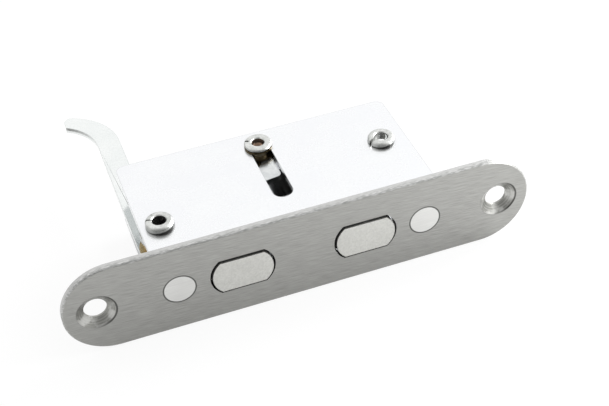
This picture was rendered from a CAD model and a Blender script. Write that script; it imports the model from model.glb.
import math

import bpy
from mathutils import Matrix, Vector


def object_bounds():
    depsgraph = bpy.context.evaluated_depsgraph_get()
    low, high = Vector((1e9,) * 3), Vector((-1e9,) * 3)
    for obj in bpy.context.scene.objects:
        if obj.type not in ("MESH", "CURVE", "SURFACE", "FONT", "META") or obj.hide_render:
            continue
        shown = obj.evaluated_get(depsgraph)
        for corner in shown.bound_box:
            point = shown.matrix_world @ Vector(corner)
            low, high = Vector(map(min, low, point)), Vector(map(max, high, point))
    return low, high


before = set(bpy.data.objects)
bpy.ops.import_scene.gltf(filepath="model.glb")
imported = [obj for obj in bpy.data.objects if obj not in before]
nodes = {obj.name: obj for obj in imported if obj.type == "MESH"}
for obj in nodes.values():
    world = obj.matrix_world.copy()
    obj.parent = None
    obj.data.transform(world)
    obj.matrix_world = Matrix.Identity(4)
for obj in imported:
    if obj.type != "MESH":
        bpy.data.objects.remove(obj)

cad_low, cad_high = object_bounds()

# Places and sizes on the part, in metres
MM = 0.001
PLATE_FRONT = -2 * MM
PLATE_THICK = 2 * MM
PLATE_END_AT = 43.5 * MM
PLATE_HALF = 11.5 * MM
BOLT_FRONT = -2.3 * MM
RIVET_AT = 29 * MM
RIVET_R = 3.65 * MM
SCREW_AT = 47.5 * MM
COUNTERSINK_R = 4.5 * MM
CASE_TOP = 7.75 * MM
LEVER_MIDDLE = 0.1 * MM
PIN_PLACES = ((-29 * MM, 11.2 * MM), (0, 29.5 * MM), (27.5 * MM, 20 * MM))
PIN_WALL_FROM = 2.6 * MM
Y_AXIS, Z_AXIS = 1, 2

# The plate's brush lines run a little off its long axis
BRUSH_SLANT = (0, math.radians(-5), 0)

# Spans of a noise, whose values lie round 0.5
FULL_SPAN = (0.3, 0.7)
SPAN = (0.35, 0.65)
CLEAR_SPAN = (0.36, 0.64)

# Cycles a metre of the turned rings, on lathe-turned pieces and in the countersinks
TURNED_RINGS, CONE_RINGS = 7000, 4200

# How well the rounded direction agrees with the flat one, from a worn edge to none
WORN_TO_FLAT = (0.8, 0.998)
BEVEL_SAMPLES = 6


def tone(red, green, blue):
    """Linear colour of a tone as a picture shows it, from 0 to 255."""
    shares = [value / 255 for value in (red, green, blue)]
    return tuple(share / 12.92 if share <= 0.04045 else ((share + 0.055) / 1.055) ** 2.4
                 for share in shares) + (1.0,)


class Graph:
    """The nodes of a material or world, made one after another and wired by name."""

    def __init__(self, owner, output="ShaderNodeOutputMaterial"):
        self.owner = owner
        owner.use_nodes = True
        self.tree = owner.node_tree
        self.tree.nodes.clear()
        self.surface = self.add(output).inputs["Surface"]
        self.coordinates = self.add("ShaderNodeTexCoord").outputs
        self.place = self.coordinates["Object"]

    def add(self, kind, **settings):
        node = self.tree.nodes.new(kind)
        for key, value in settings.items():
            setattr(node, key, value)
        return node

    def wire(self, source, target):
        self.tree.links.new(source, target)

    def put(self, socket, value):
        """Wire an output to the socket, or set a plain value on it."""
        if isinstance(value, bpy.types.NodeSocket):
            self.wire(value, socket)
        else:
            socket.default_value = value

    def math(self, operation, a, b=0.0, clamp=False):
        node = self.add("ShaderNodeMath", operation=operation, use_clamp=clamp)
        self.put(node.inputs[0], a)
        self.put(node.inputs[1], b)
        return node.outputs[0]

    def plus(self, a, b):
        return self.math("ADD", a, b)

    def minus(self, a, b):
        return self.math("SUBTRACT", a, b)

    def times(self, a, b):
        return self.math("MULTIPLY", a, b)

    def size(self, a):
        return self.math("ABSOLUTE", a)

    def length(self, a, b):
        return self.math("SQRT", self.plus(self.times(a, a), self.times(b, b)))

    def dot(self, a, b):
        node = self.add("ShaderNodeVectorMath", operation="DOT_PRODUCT")
        self.put(node.inputs[0], a)
        self.put(node.inputs[1], b)
        return node.outputs["Value"]

    def axes(self, vector=None):
        """The three parts of a vector, or of the place."""
        node = self.add("ShaderNodeSeparateXYZ")
        self.wire(vector or self.place, node.inputs[0])
        return node.outputs

    def facing(self):
        """The surface's direction along each axis."""
        return self.axes(self.coordinates["Normal"])

    def stretch(self, per_metre, turn):
        """The place turned, then scaled by so many cycles a metre along each axis."""
        turned_place = self.add("ShaderNodeMapping")
        turned_place.inputs["Rotation"].default_value = turn
        self.wire(self.place, turned_place.inputs["Vector"])
        scaled = self.add("ShaderNodeMapping")
        scaled.inputs["Scale"].default_value = per_metre
        self.wire(turned_place.outputs[0], scaled.inputs["Vector"])
        return scaled.outputs[0]

    def noise(self, per_metre, detail=3.0, roughness=0.55, turn=(0, 0, 0)):
        """Noise from 0 to 1. One number of cycles a metre stands for all three axes."""
        if not isinstance(per_metre, tuple):
            per_metre = (per_metre,) * 3
        node = self.add("ShaderNodeTexNoise")
        node.inputs["Scale"].default_value = 1.0
        node.inputs["Detail"].default_value = detail
        node.inputs["Roughness"].default_value = roughness
        self.wire(self.stretch(per_metre, turn), node.inputs["Vector"])
        return node.outputs["Fac"]

    def reach(self, value, low, high, to_low=0.0, to_high=1.0, smooth=False):
        """The value from low to high brought to the other two numbers, held there beyond."""
        node = self.add("ShaderNodeMapRange", clamp=True)
        if smooth:
            node.interpolation_type = "SMOOTHSTEP"
        self.put(node.inputs["Value"], value)
        ends = (("From Min", low), ("From Max", high), ("To Min", to_low), ("To Max", to_high))
        for key, number in ends:
            self.put(node.inputs[key], number)
        return node.outputs["Result"]

    def blend(self, share, a, b):
        """Colour a, with this share of colour b."""
        node = self.add("ShaderNodeMix", data_type="RGBA")
        self.put(node.inputs["Factor"], share)
        self.put(node.inputs["A"], a)
        self.put(node.inputs["B"], b)
        return node.outputs["Result"]

    def round_about(self, centre, axis):
        """Distance from an axis through a point, and the height along it."""
        shifted = [self.minus(value, start) for value, start in zip(self.axes(), centre)]
        along = shifted.pop(axis)
        return self.length(*shifted), along

    def ring_line(self, from_axis, radius, full_to, gone_at, share=1.0):
        """A thin line at a radius, as the share of it that shows."""
        off_line = self.size(self.minus(from_axis, radius))
        return self.reach(off_line, full_to, gone_at, share, 0, smooth=True)

    def bump(self, height, distance, strength=1.0, after=None):
        node = self.add("ShaderNodeBump")
        node.inputs["Strength"].default_value = strength
        node.inputs["Distance"].default_value = distance
        self.put(node.inputs["Height"], height)
        if after is not None:
            self.wire(after, node.inputs["Normal"])
        return node.outputs["Normal"]

    def rounded(self, radius):
        """The surface's direction as if its edges were rounded."""
        node = self.add("ShaderNodeBevel", samples=BEVEL_SAMPLES)
        node.inputs["Radius"].default_value = radius
        return node.outputs[0]

    def edge_wear(self, radius):
        """1 near a sharp edge, 0 on the flats."""
        flat = self.add("ShaderNodeNewGeometry").outputs["Normal"]
        return self.reach(self.dot(self.rounded(radius), flat), *WORN_TO_FLAT, 1, 0)

    def plain(self, kind, colour, strength=None):
        """A shader of one colour."""
        shader = self.add(kind)
        shader.inputs["Color"].default_value = colour
        if strength is not None:
            self.put(shader.inputs["Strength"], strength)
        return shader.outputs[0]

    def finish_metal(self, colour, rough, normal):
        """Finish the material as a metal."""
        shader = self.add("ShaderNodeBsdfPrincipled")
        shader.inputs["Metallic"].default_value = 1.0
        self.put(shader.inputs["Base Color"], colour)
        self.put(shader.inputs["Roughness"], rough)
        self.wire(normal, shader.inputs["Normal"])
        self.wire(shader.outputs[0], self.surface)
        return self.owner

    def finish_mixed(self, share, first, second):
        """Finish with two shaders, the share being the second one's."""
        mixer = self.add("ShaderNodeMixShader")
        for socket, source in zip(mixer.inputs, (share, first, second)):
            self.wire(source, socket)
        self.wire(mixer.outputs[0], self.surface)
        return self.owner


def material_graph(name):
    return Graph(bpy.data.materials.new(name))


def stainless():
    """Brushed sheet with a ragged sheared rim, dark openings and turned countersinks."""
    g = material_graph("brushed_stainless")
    streak = g.noise((260, 5000, 5000), detail=4, turn=BRUSH_SLANT)
    wide = g.noise((150, 1500, 1500), turn=BRUSH_SLANT)
    cloud = g.noise(60, detail=2)
    ragged = g.noise((800, 3200, 3200))
    colour = g.blend(g.reach(streak, *FULL_SPAN), tone(140, 140, 137), tone(173, 173, 170))
    colour = g.blend(g.reach(wide, *SPAN, 0, 0.25), colour, tone(141, 141, 138))
    colour = g.blend(g.reach(cloud, 0.35, 0.7, 0, 0.15), colour, tone(166, 166, 163))

    # How far a point lies behind the front, and out from the long middle line with round ends
    along, depth, height = g.axes()
    behind = g.minus(depth, PLATE_FRONT)
    past_middle = g.math("MAXIMUM", g.minus(g.size(along), PLATE_END_AT), 0.0)
    outward = g.length(past_middle, height)
    at_rim = g.reach(outward, PLATE_HALF - 0.5 * MM, PLATE_HALF - 0.4 * MM)

    # Ragged shear over the outer rim
    chipped = g.plus(behind, g.times(g.minus(ragged, 0.5), 0.36 * MM))
    sheared = g.blend(g.reach(ragged, 0.4, 0.62), tone(154, 155, 153), tone(196, 196, 195))
    to_rear = g.reach(chipped, 0.5 * MM, 1.1 * MM, 0, 0.7)
    sheared = g.blend(to_rear, sheared, tone(190, 190, 189))
    shear = g.times(g.reach(chipped, 0.02 * MM, 0.16 * MM), at_rim)
    colour = g.blend(shear, colour, sheared)

    # Dark walls inside the windows and holes, but not the rear face
    inside = g.times(g.reach(behind, 0.05 * MM, 0.2 * MM), g.minus(1.0, at_rim))
    rear_from, rear_to = PLATE_THICK - 0.03 * MM, PLATE_THICK - 0.01 * MM
    inside = g.times(inside, g.reach(behind, rear_from, rear_to, 1, 0))
    colour = g.blend(inside, colour, tone(28, 28, 27))

    for side in (-1, 1):
        # A hair line where the rivet was ground flush
        from_rivet, _ = g.round_about((side * RIVET_AT, 0, 0), Y_AXIS)
        hair = g.ring_line(from_rivet, RIVET_R, 0.1 * MM, 0.26 * MM, share=0.85)
        colour = g.blend(hair, colour, tone(58, 58, 56))

        # Turned rings in the countersink, torn in places
        from_screw, _ = g.round_about((side * SCREW_AT, 0, 0), Y_AXIS)
        cut = g.add("ShaderNodeTexNoise", noise_dimensions="1D")
        cut.inputs["Scale"].default_value = CONE_RINGS
        g.wire(from_screw, cut.inputs["W"])
        rings = g.reach(cut.outputs["Fac"], 0.38, 0.62)
        turned_cone = g.blend(rings, tone(134, 134, 130), tone(156, 156, 152))
        torn = g.reach(g.noise(420), 0.46, 0.6, 0, 0.7)
        turned_cone = g.blend(torn, turned_cone, tone(196, 196, 193))
        within = g.reach(from_screw, COUNTERSINK_R, COUNTERSINK_R + 0.05 * MM, 1, 0)
        cone = g.times(within, g.reach(behind, 0.01 * MM, 0.04 * MM))
        colour = g.blend(cone, colour, turned_cone)

        # The countersink's lip is dirtier on its right side
        lip = g.ring_line(from_screw, COUNTERSINK_R - 0.04 * MM, 0.1 * MM, 0.27 * MM)
        rightward = g.minus(along, side * SCREW_AT)
        lip = g.times(lip, g.reach(rightward, -1 * MM, 3 * MM, 0.1, 0.85))
        colour = g.blend(lip, colour, tone(62, 62, 60))

    normal = g.bump(streak, 0.006 * MM)
    normal = g.bump(ragged, 0.02 * MM, strength=0.4, after=normal)
    return g.finish_metal(colour, g.reach(streak, *FULL_SPAN, 0.34, 0.46), normal)


def ground_rivet():
    """Rivet ground flush with the plate: finer, lighter brushing."""
    g = material_graph("ground_rivet")
    streak = g.noise((160, 5200, 5200), detail=4)
    cloud = g.noise(250, detail=2)
    colour = g.blend(g.reach(streak, *FULL_SPAN), tone(205, 205, 203), tone(219, 219, 217))
    colour = g.blend(g.reach(cloud, *SPAN, 0, 0.3), colour, tone(200, 200, 198))
    for side in (-1, 1):
        from_rivet, _ = g.round_about((side * RIVET_AT, 0, 0), Y_AXIS)
        hair = g.ring_line(from_rivet, RIVET_R, 0.1 * MM, 0.2 * MM, share=0.85)
        colour = g.blend(hair, colour, tone(70, 70, 68))
    rough = g.reach(streak, *FULL_SPAN, 0.4, 0.52)
    return g.finish_metal(colour, rough, g.bump(streak, 0.004 * MM))


def zinc(name, light, dark, rough_low, rough_high, sheared=False, smooth_inside=False):
    """Bright zinc plate: soft clouds, fine grain and greyer worn edges."""
    g = material_graph(name)
    cloud = g.noise(110, detail=5, roughness=0.6)
    grain = g.noise(2600, detail=2)
    rolled = g.noise((60, 1500, 1500))
    colour = g.blend(g.reach(cloud, *CLEAR_SPAN), tone(*light), tone(*dark))
    grain_tone = tone(*[value - 14 for value in dark])
    colour = g.blend(g.reach(grain, 0.42, 0.6, 0, 0.2), colour, grain_tone)
    worn = g.times(g.edge_wear(0.4 * MM), 0.85)
    colour = g.blend(worn, colour, tone(188, 190, 190))
    if sheared:
        # The cut side is dull over its upper half, most where it faces the plate's front
        _, rearward, upward = g.facing()
        side = g.reach(g.size(upward), 0.35, 0.7, 1, 0)
        dull = g.times(side, g.reach(rearward, -0.9, -0.3, 1, 0.25))
        height = g.axes()[Z_AXIS]
        dull = g.times(dull, g.reach(height, LEVER_MIDDLE, LEVER_MIDDLE + 0.2 * MM, 0.15, 1))
        cut_side = g.blend(g.reach(grain, 0.4, 0.6), tone(92, 93, 91), tone(132, 133, 131))
        colour = g.blend(dull, colour, cut_side)
    rough = g.reach(cloud, *SPAN, rough_low, rough_high)
    if smooth_inside:
        # Between the flanges the plate mirrors more, which keeps the slot dark
        from_middle = g.size(g.axes()[Z_AXIS])
        outside = g.reach(from_middle, CASE_TOP - 0.3 * MM, CASE_TOP - 0.1 * MM, 0.5, 1)
        rough = g.times(rough, outside)
    return g.finish_metal(colour, rough, g.bump(g.plus(grain, rolled), 0.004 * MM))


def rolled_pin():
    """Plated spring steel, duller on its walls, with dark oil left round the foot."""
    g = material_graph("rolled_pin")
    grain = g.noise(2200)
    cloud = g.noise(700)
    colour = g.blend(g.reach(cloud, *CLEAR_SPAN), tone(216, 217, 215), tone(192, 194, 191))
    colour = g.blend(g.reach(grain, 0.45, 0.62, 0, 0.3), colour, tone(150, 151, 148))
    sideways, _, upward = g.facing()
    wall = g.reach(g.size(upward), 0.3, 0.8, 0.55, 0)
    wall_tone = g.blend(g.reach(cloud, 0.4, 0.6), tone(168, 169, 166), tone(132, 133, 130))
    colour = g.blend(wall, colour, wall_tone)

    # The oil stands on the outer wall, a little higher on the right side
    from_axis = 1.0
    for x, y in PIN_PLACES:
        from_axis = g.math("MINIMUM", from_axis, g.round_about((x, y, 0), Z_AXIS)[0])
    outer = g.reach(from_axis, PIN_WALL_FROM, PIN_WALL_FROM + 0.2 * MM)
    lift = g.minus(g.size(g.axes()[Z_AXIS]), CASE_TOP)
    lift = g.minus(lift, g.times(sideways, 0.4 * MM))
    lift = g.plus(lift, g.times(cloud, 0.3 * MM))
    foot = g.times(g.reach(lift, 0.45 * MM, 0.9 * MM, 1, 0, smooth=True), outer)
    colour = g.blend(g.times(foot, 0.96), colour, tone(34, 34, 32))
    normal = g.bump(g.plus(grain, cloud), 0.005 * MM, after=g.rounded(0.07 * MM))
    return g.finish_metal(colour, g.reach(cloud, *SPAN, 0.26, 0.36), normal)


def turned(name, light, dark, rough, axis=Z_AXIS):
    """Lathe-turned metal: fine rings round the frame's axis."""
    g = material_graph(name)
    radius, along = g.round_about((0, 0, 0), axis)
    join = g.add("ShaderNodeCombineXYZ")
    g.wire(radius, join.inputs[0])
    g.wire(along, join.inputs[1])
    cut = g.add("ShaderNodeTexNoise", noise_dimensions="2D")
    cut.inputs["Scale"].default_value = TURNED_RINGS
    cut.inputs["Detail"].default_value = 3
    g.wire(join.outputs[0], cut.inputs["Vector"])
    rings = cut.outputs["Fac"]
    cloud = g.noise(900)
    colour = g.blend(g.reach(rings, *SPAN), tone(*light), tone(*dark))
    stain_tone = tone(*[value * 0.86 for value in dark])
    colour = g.blend(g.reach(cloud, 0.42, 0.66, 0, 0.45), colour, stain_tone)
    normal = g.bump(rings, 0.008 * MM)
    return g.finish_metal(colour, g.reach(cloud, *SPAN, rough, rough + 0.14), normal)


def bolt_steel():
    """Machined bolt: pale specked end face, darker sides with a lengthwise grain."""
    g = material_graph("bolt_steel")
    speck = g.noise(2400)
    streak = g.noise((1800, 90, 1800))
    cloud = g.noise(160, detail=2)
    colour = g.blend(g.reach(speck, *CLEAR_SPAN), tone(205, 205, 201), tone(196, 196, 192))
    colour = g.blend(g.reach(cloud, *SPAN, 0, 0.3), colour, tone(191, 191, 187))
    on_side = g.reach(g.minus(g.axes()[Y_AXIS], BOLT_FRONT), 0.04 * MM, 0.12 * MM)
    side_tone = g.blend(g.reach(streak, *SPAN), tone(138, 138, 135), tone(160, 160, 157))
    colour = g.blend(on_side, colour, side_tone)
    worn = g.times(g.edge_wear(0.3 * MM), 0.9)
    colour = g.blend(worn, colour, tone(40, 40, 38))
    normal = g.bump(g.plus(speck, streak), 0.006 * MM)
    return g.finish_metal(colour, g.reach(speck, *SPAN, 0.46, 0.58), normal)


def drawn_wire():
    """Drawn spring wire with soft clouds."""
    g = material_graph("spring_wire")
    cloud = g.noise(1400)
    colour = g.blend(g.reach(cloud, *CLEAR_SPAN), tone(196, 197, 198), tone(150, 151, 153))
    return g.finish_metal(colour, g.reach(cloud, *SPAN, 0.2, 0.34), g.bump(cloud, 0.006 * MM))


finish = {
    "stainless_faceplate": stainless(),
    "ground_rivet": ground_rivet(),
    "zinc_sheet": zinc("zinc_sheet", (232, 233, 234), (229, 230, 232), 0.24, 0.3,
                       smooth_inside=True),
    "zinc_lever": zinc("zinc_lever", (229, 231, 230), (223, 226, 225), 0.1, 0.17,
                       sheared=True),
    "spring_pin_steel": rolled_pin(),
    "turned_steel": turned("turned_steel", (214, 215, 214), (190, 191, 190), 0.26),
    "brass": turned("brass", (206, 188, 148), (152, 132, 94), 0.24),
    "oiled_brass": turned("oiled_brass", (126, 112, 84), (84, 73, 52), 0.26),
    "inner_zinc": zinc("inner_zinc", (216, 218, 218), (184, 188, 190), 0.2, 0.3),
    "brown_brass": turned("brown_brass", (122, 98, 82), (90, 74, 62), 0.3),
    "bolt_steel": bolt_steel(),
    "screw_steel": turned("screw_steel", (150, 151, 152), (120, 121, 122), 0.3, axis=Y_AXIS),
    "spring_wire": drawn_wire(),
}

# Pieces whose finish differs from what the source gives them
own_finish = {
    "drive_bush": "oiled_brass",
    "slot_washer": "oiled_brass",
    "fork_plate": "inner_zinc",
}

for name, thing in nodes.items():
    for slot in thing.material_slots:
        source_name = slot.material.name.split(".")[0] if slot.material else None
        key = own_finish.get(name, source_name)
        if key in finish:
            slot.material = finish[key]

# Sheared edges of the sheet pieces are slightly rounded
rounded_edges = {
    "case_shell": 0.12 * MM,
    "hook_lever": 0.14 * MM,
    "fork_plate": 0.14 * MM,
    "bolt_yoke": 0.1 * MM,
}
for name, width in rounded_edges.items():
    weld = nodes[name].modifiers.new("weld", "WELD")
    weld.merge_threshold = 0.002 * MM
    round_off = nodes[name].modifiers.new("round_off", "BEVEL")
    round_off.width = width
    round_off.segments = 2
    round_off.limit_method = "ANGLE"
    round_off.angle_limit = math.radians(40)
    round_off.harden_normals = True


def place_new(name, data):
    """Put a new object with this data into the scene."""
    thing = bpy.data.objects.new(name, data)
    bpy.context.scene.collection.objects.link(thing)
    return thing


# The camera stands where the photograph was taken
AZIMUTH, ELEVATION, ROLL = (math.radians(angle) for angle in (-17.527, 40.369, 3.738))
FOCAL_PIXELS, PICTURE_WIDTH, SENSOR = 1267.85, 609, 36.0
TARGET = Vector((0.606, -2, 14.600)) * MM
DISTANCE = 272.78 * MM
ahead = Vector((-math.sin(AZIMUTH) * math.cos(ELEVATION),
                math.cos(AZIMUTH) * math.cos(ELEVATION),
                -math.sin(ELEVATION)))
level_right = Vector((math.cos(AZIMUTH), math.sin(AZIMUTH), 0))
level_down = ahead.cross(level_right)
right = level_right * math.cos(ROLL) + level_down * math.sin(ROLL)
down = level_down * math.cos(ROLL) - level_right * math.sin(ROLL)
camera = place_new("camera", bpy.data.cameras.new("camera"))
turn = Matrix((right, -down, -ahead)).transposed().to_4x4()
camera.matrix_world = Matrix.Translation(TARGET - ahead * DISTANCE) @ turn
camera.data.sensor_width = SENSOR
camera.data.lens = FOCAL_PIXELS / PICTURE_WIDTH * SENSOR
camera.data.clip_start = 0.01
camera.data.clip_end = 20
bpy.context.scene.camera = camera

# A pale floor just under the lowest edge, mixed with plain white where it is seen or mirrored
FLOOR_HALF = 3.0
FLOOR_AT = cad_low.z - 0.05 * MM
FLOOR_COLOUR = (0.86, 0.86, 0.86, 1)
WHITE = (1, 1, 1, 1)
SEEN_WHITE, MIRRORED_WHITE = 0.88, 0.3
floor_mesh = bpy.data.meshes.new("floor")
corners = [(x * FLOOR_HALF, y * FLOOR_HALF, FLOOR_AT)
           for x, y in ((-1, -1), (1, -1), (1, 1), (-1, 1))]
floor_mesh.from_pydata(corners, [], [(0, 1, 2, 3)])
floor = place_new("floor", floor_mesh)
g = material_graph("floor")
rays = g.add("ShaderNodeLightPath").outputs
white_share = g.math("ADD", g.times(rays["Is Camera Ray"], SEEN_WHITE),
                     g.times(rays["Is Glossy Ray"], MIRRORED_WHITE), clamp=True)
floor_mesh.materials.append(g.finish_mixed(
    white_share,
    g.plain("ShaderNodeBsdfDiffuse", FLOOR_COLOUR),
    g.plain("ShaderNodeEmission", WHITE, strength=1.0)))

# An even tent, white to the camera, with a darker opening where the camera stands
TENT_COLOUR = (0.8, 0.8, 0.8, 1)
TENT, OPENING = 1.5, 0.7
OPENING_EDGE, OPENING_FULL = math.cos(math.radians(50)), math.cos(math.radians(18))
world = bpy.data.worlds.new("studio")
bpy.context.scene.world = world
g = Graph(world, "ShaderNodeOutputWorld")
direction = g.coordinates["Generated"]
tent = g.reach(g.dot(direction, tuple(-ahead)), OPENING_EDGE, OPENING_FULL, TENT, OPENING,
               smooth=True)

# It dims towards the horizon, so a flat top still shows against the backdrop in low views
HORIZON_SHARE = 0.68
DIMMED_BELOW, FULL_ABOVE = 0.05, 0.5
upward = g.axes(direction)[Z_AXIS]
dimming = g.reach(upward, DIMMED_BELOW, FULL_ABOVE, HORIZON_SHARE, 1.0, smooth=True)
g.finish_mixed(
    g.add("ShaderNodeLightPath").outputs["Is Camera Ray"],
    g.plain("ShaderNodeBackground", TENT_COLOUR, strength=g.times(tent, dimming)),
    g.plain("ShaderNodeBackground", WHITE, strength=1.0))


def softbox(name, at, aim, width, power):
    """A square soft lamp that looks at a point."""
    data = bpy.data.lights.new(name, "AREA")
    data.shape = "RECTANGLE"
    data.size = data.size_y = width
    data.energy = power
    lamp = place_new(name, data)
    lamp.location = at
    lamp.rotation_mode = "QUATERNION"
    lamp.rotation_quaternion = (Vector(aim) - Vector(at)).to_track_quat("-Z", "Y")


softbox("key", at=(0.6, 0.24, 0.3), aim=(0, 0, 0), width=0.35, power=5.0)
softbox("fill", at=(0.2, -0.05, 0.1), aim=(0.05, -0.02, -0.01), width=0.08, power=0.3)

bpy.context.scene.view_settings.view_transform = "Standard"
